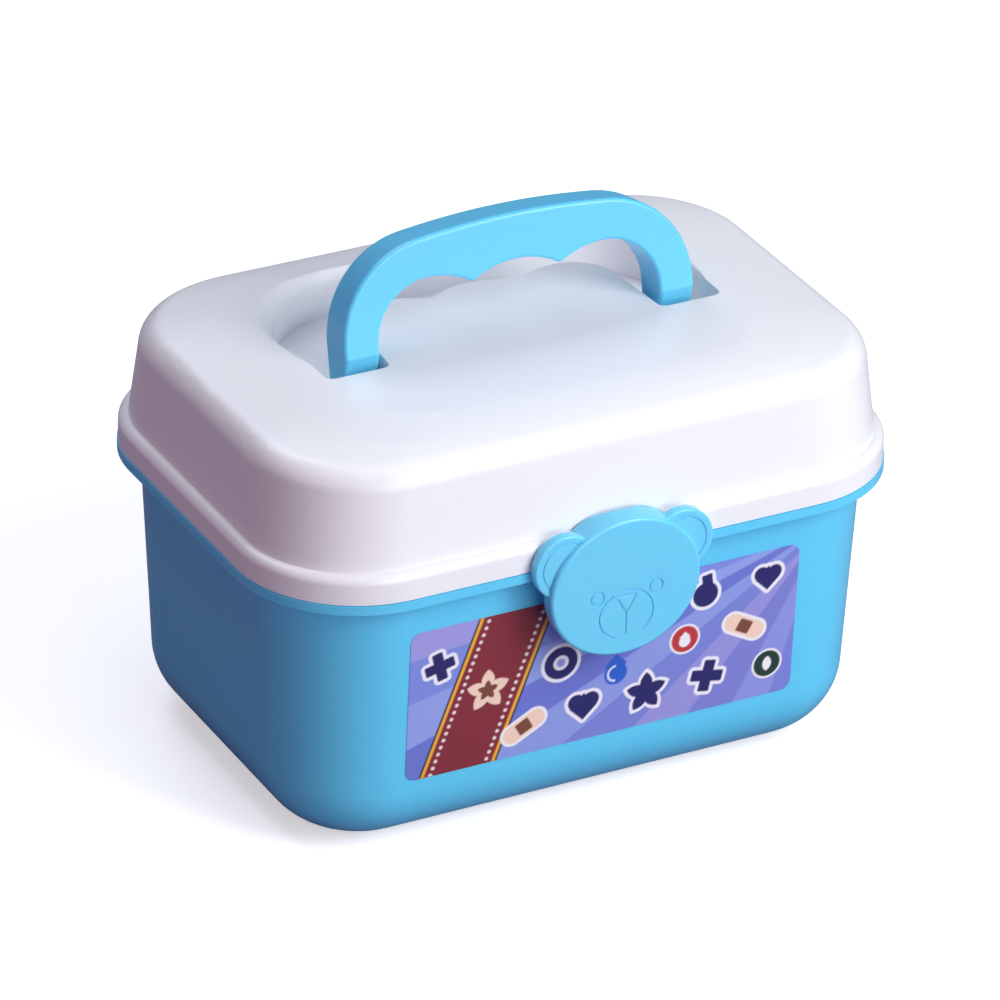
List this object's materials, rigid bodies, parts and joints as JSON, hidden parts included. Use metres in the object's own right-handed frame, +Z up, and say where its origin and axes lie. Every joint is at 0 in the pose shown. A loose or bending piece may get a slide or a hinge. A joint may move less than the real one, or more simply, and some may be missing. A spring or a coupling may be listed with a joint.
{
  "type": "toy doctor case",
  "caption": "Child's moulded carry case: a deep tapered tub, a hinged dome lid with a recessed folding carry handle, and a bear-head latch on the front.",
  "frame": {"origin": "centre of the case's bounding box, on the surface that it stands on", "axes": "+X along the front from left to right, -Y out of the front where the latch is, +Z up"},
  "size_m": [0.2408, 0.183, 0.1935],
  "materials": {
    "tub_plastic": "glossy light blue moulded polypropylene",
    "lid_plastic": "glossy white moulded polypropylene",
    "handle_plastic": "glossy sky blue moulded polypropylene",
    "latch_plastic": "glossy sky blue moulded polypropylene",
    "label_print": "printed vinyl sticker, violet ground with a maroon band",
    "pin_steel": "plain steel wire pin"
  },
  "bodies": {
    "tub_body": {"tub": "tub_plastic", "front_label": "label_print", "hinge_pin_left": "pin_steel", "hinge_pin_right": "pin_steel"},
    "lid_body": {"lid": "lid_plastic", "handle_pin_left": "pin_steel", "handle_pin_right": "pin_steel", "latch_pin": "pin_steel"},
    "handle_body": {"handle": "handle_plastic"},
    "latch_body": {"latch": "latch_plastic"}
  },
  "joints": [
    {"name": "lid_hinge", "type": "hinge", "parent": "tub_body", "child": "lid_body", "pos_m": [0, 0.08875, 0.10375], "axis": [-1, 0, 0], "range_deg": [0, 105]},
    {"name": "handle_pivot", "type": "hinge", "parent": "lid_body", "child": "handle_body", "pos_m": [0, -0.0048, 0.139], "axis": [-1, 0, 0], "range_deg": [0, 78]},
    {"name": "latch_pivot", "type": "hinge", "parent": "lid_body", "child": "latch_body", "pos_m": [0, -0.0857, 0.1163], "axis": [-1, 0, 0], "range_deg": [0, 90]}
  ]
}
